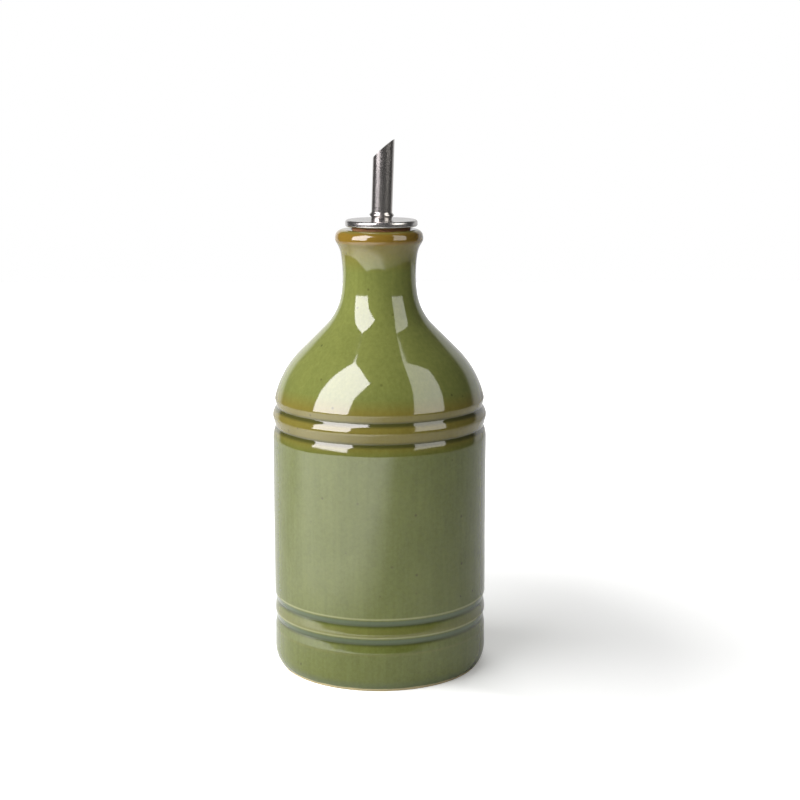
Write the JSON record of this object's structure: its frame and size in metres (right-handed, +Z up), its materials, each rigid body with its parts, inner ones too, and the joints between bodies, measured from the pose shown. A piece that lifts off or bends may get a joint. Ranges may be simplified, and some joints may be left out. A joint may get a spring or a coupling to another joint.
{
  "type": "ceramic oil bottle",
  "caption": "Glazed stoneware oil bottle with turned grooves, a narrow neck, a flared lip and a corked steel pourer with a slanted spout.",
  "frame": {"origin": "on the bottle's axis, in the plane that its foot stands on", "axes": "+Z up along the bottle's axis, -X the side that the spout's slanted end opens to, -Y the side seen from the front"},
  "size_m": [0.08, 0.08, 0.1969],
  "materials": {
    "glaze": "glossy olive green, amber brown where it is thin",
    "cork": "dark agglomerated cork",
    "steel": "bright stainless steel"
  },
  "bodies": {
    "root": {"bottle": "glaze", "cork": "cork", "disc": "steel", "spout": "steel"}
  },
  "joints": []
}
